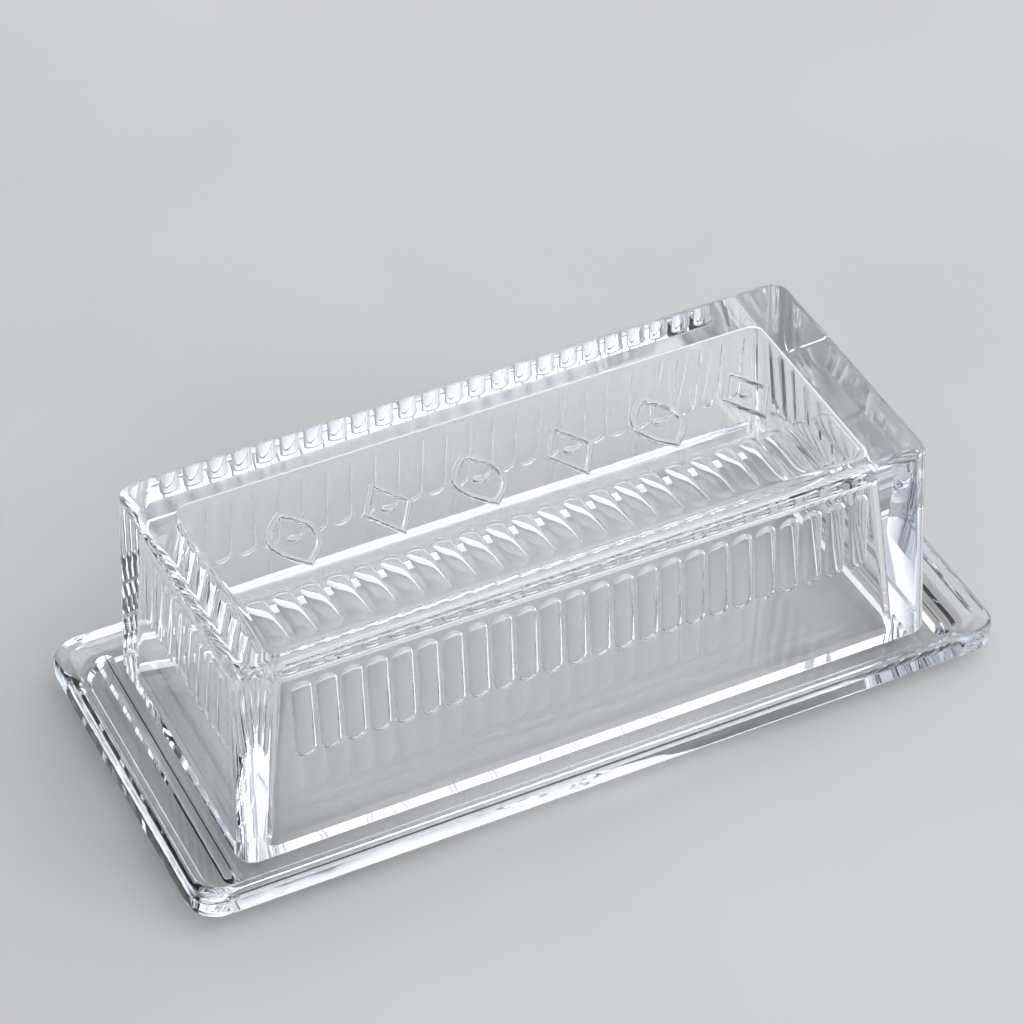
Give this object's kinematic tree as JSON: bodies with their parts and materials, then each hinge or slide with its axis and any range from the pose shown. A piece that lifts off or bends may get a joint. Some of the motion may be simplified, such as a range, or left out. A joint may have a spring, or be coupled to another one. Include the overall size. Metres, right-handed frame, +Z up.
{
  "type": "butter dish",
  "caption": "Clear glass butter dish: a rectangular rimmed tray with a thick-walled, fluted cover that lifts off.",
  "frame": {"origin": "centre of the tray's underside", "axes": "+X along the dish, +Y across it, +Z up"},
  "size_m": [0.197, 0.09, 0.0608],
  "materials": {
    "tray_glass": "clear pressed glass, polished",
    "cover_glass": "clear pressed glass, polished"
  },
  "bodies": {
    "tray": {"tray": "tray_glass"},
    "cover": {"cover": "cover_glass"}
  },
  "joints": [
    {"name": "cover_lift", "type": "slide", "parent": "tray", "child": "cover", "axis": [0, 0, 1], "range_m": [0, 0.12]}
  ]
}
